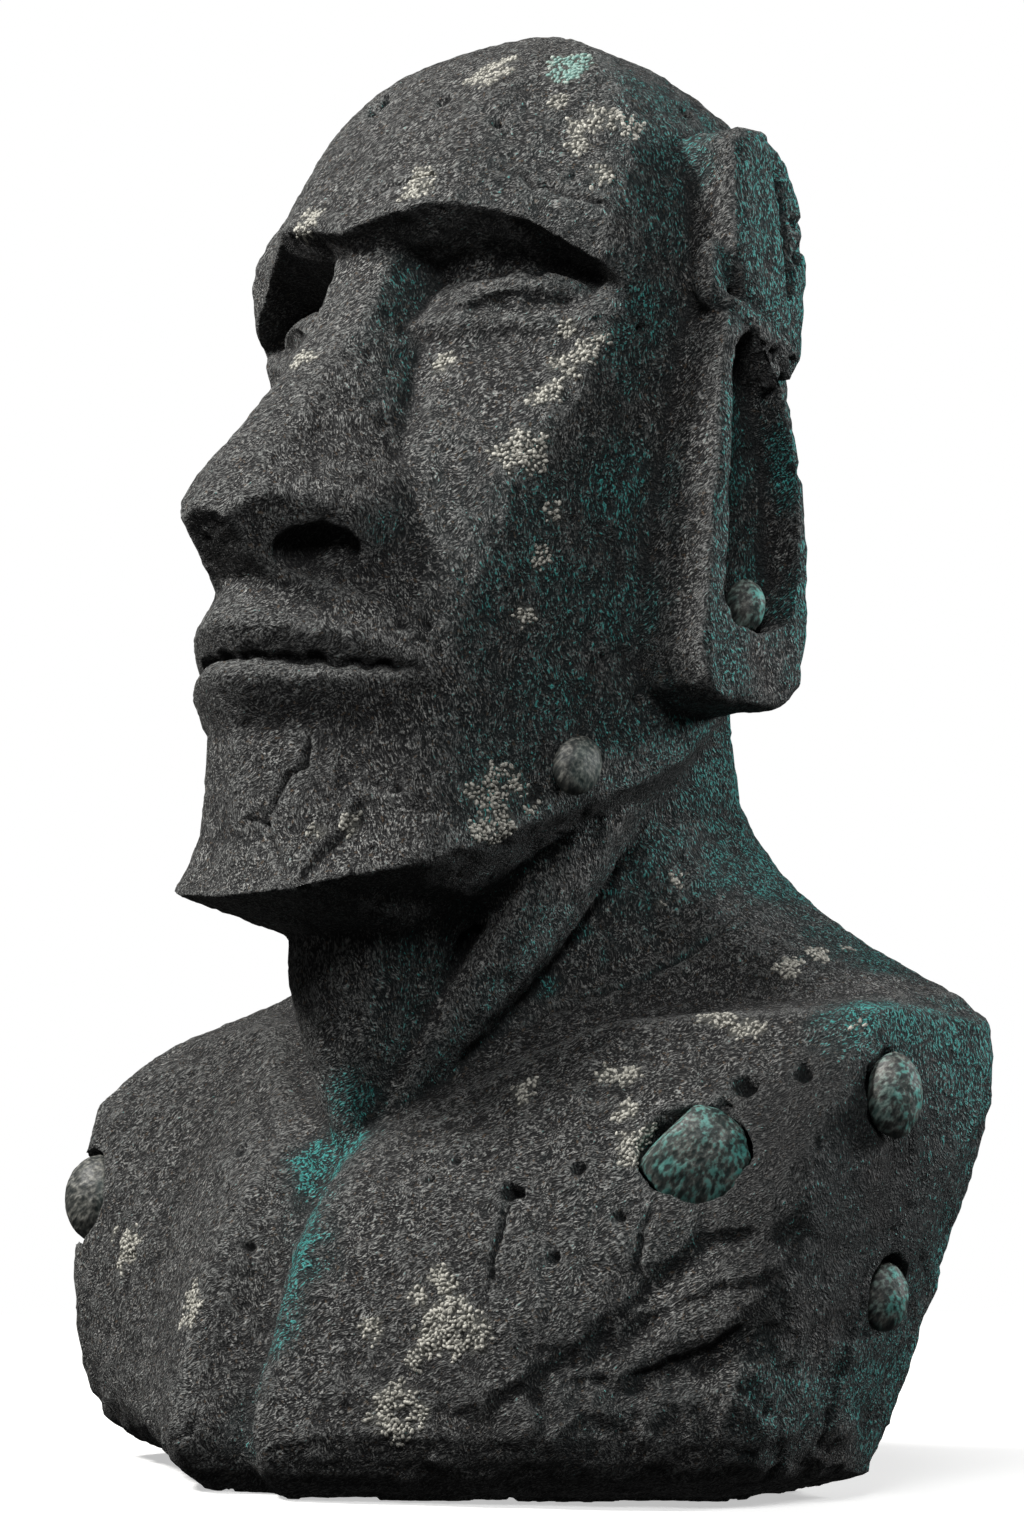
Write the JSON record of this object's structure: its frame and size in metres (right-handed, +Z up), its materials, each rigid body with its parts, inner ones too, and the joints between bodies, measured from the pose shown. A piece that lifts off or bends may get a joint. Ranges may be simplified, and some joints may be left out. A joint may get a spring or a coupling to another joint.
{
  "type": "moai bust statue",
  "caption": "Moai stone bust: long carved head, neck and chest of an ancestor figure, weathered, with cobbles set in the rock, standing on a flat cut underside",
  "frame": {"origin": "on the flat underside, straight below the neck", "axes": "+Z up, -Y the way the face looks, +X the figure's own left side"},
  "size_m": [0.9906, 0.6188, 1.364],
  "materials": {
    "basalt": "rough chiselled and weathered",
    "cobble_turquoise": "water-worn, blue-green stained",
    "cobble_dark": "water-worn"
  },
  "bodies": {
    "root": {"bust": "basalt", "cobble_chest": "cobble_turquoise", "cobble_shoulder": "cobble_turquoise", "cobble_arm_left": "cobble_turquoise", "cobble_ear": "cobble_turquoise", "cobble_arm_right": "cobble_dark", "cobble_jaw": "cobble_dark"}
  },
  "joints": []
}
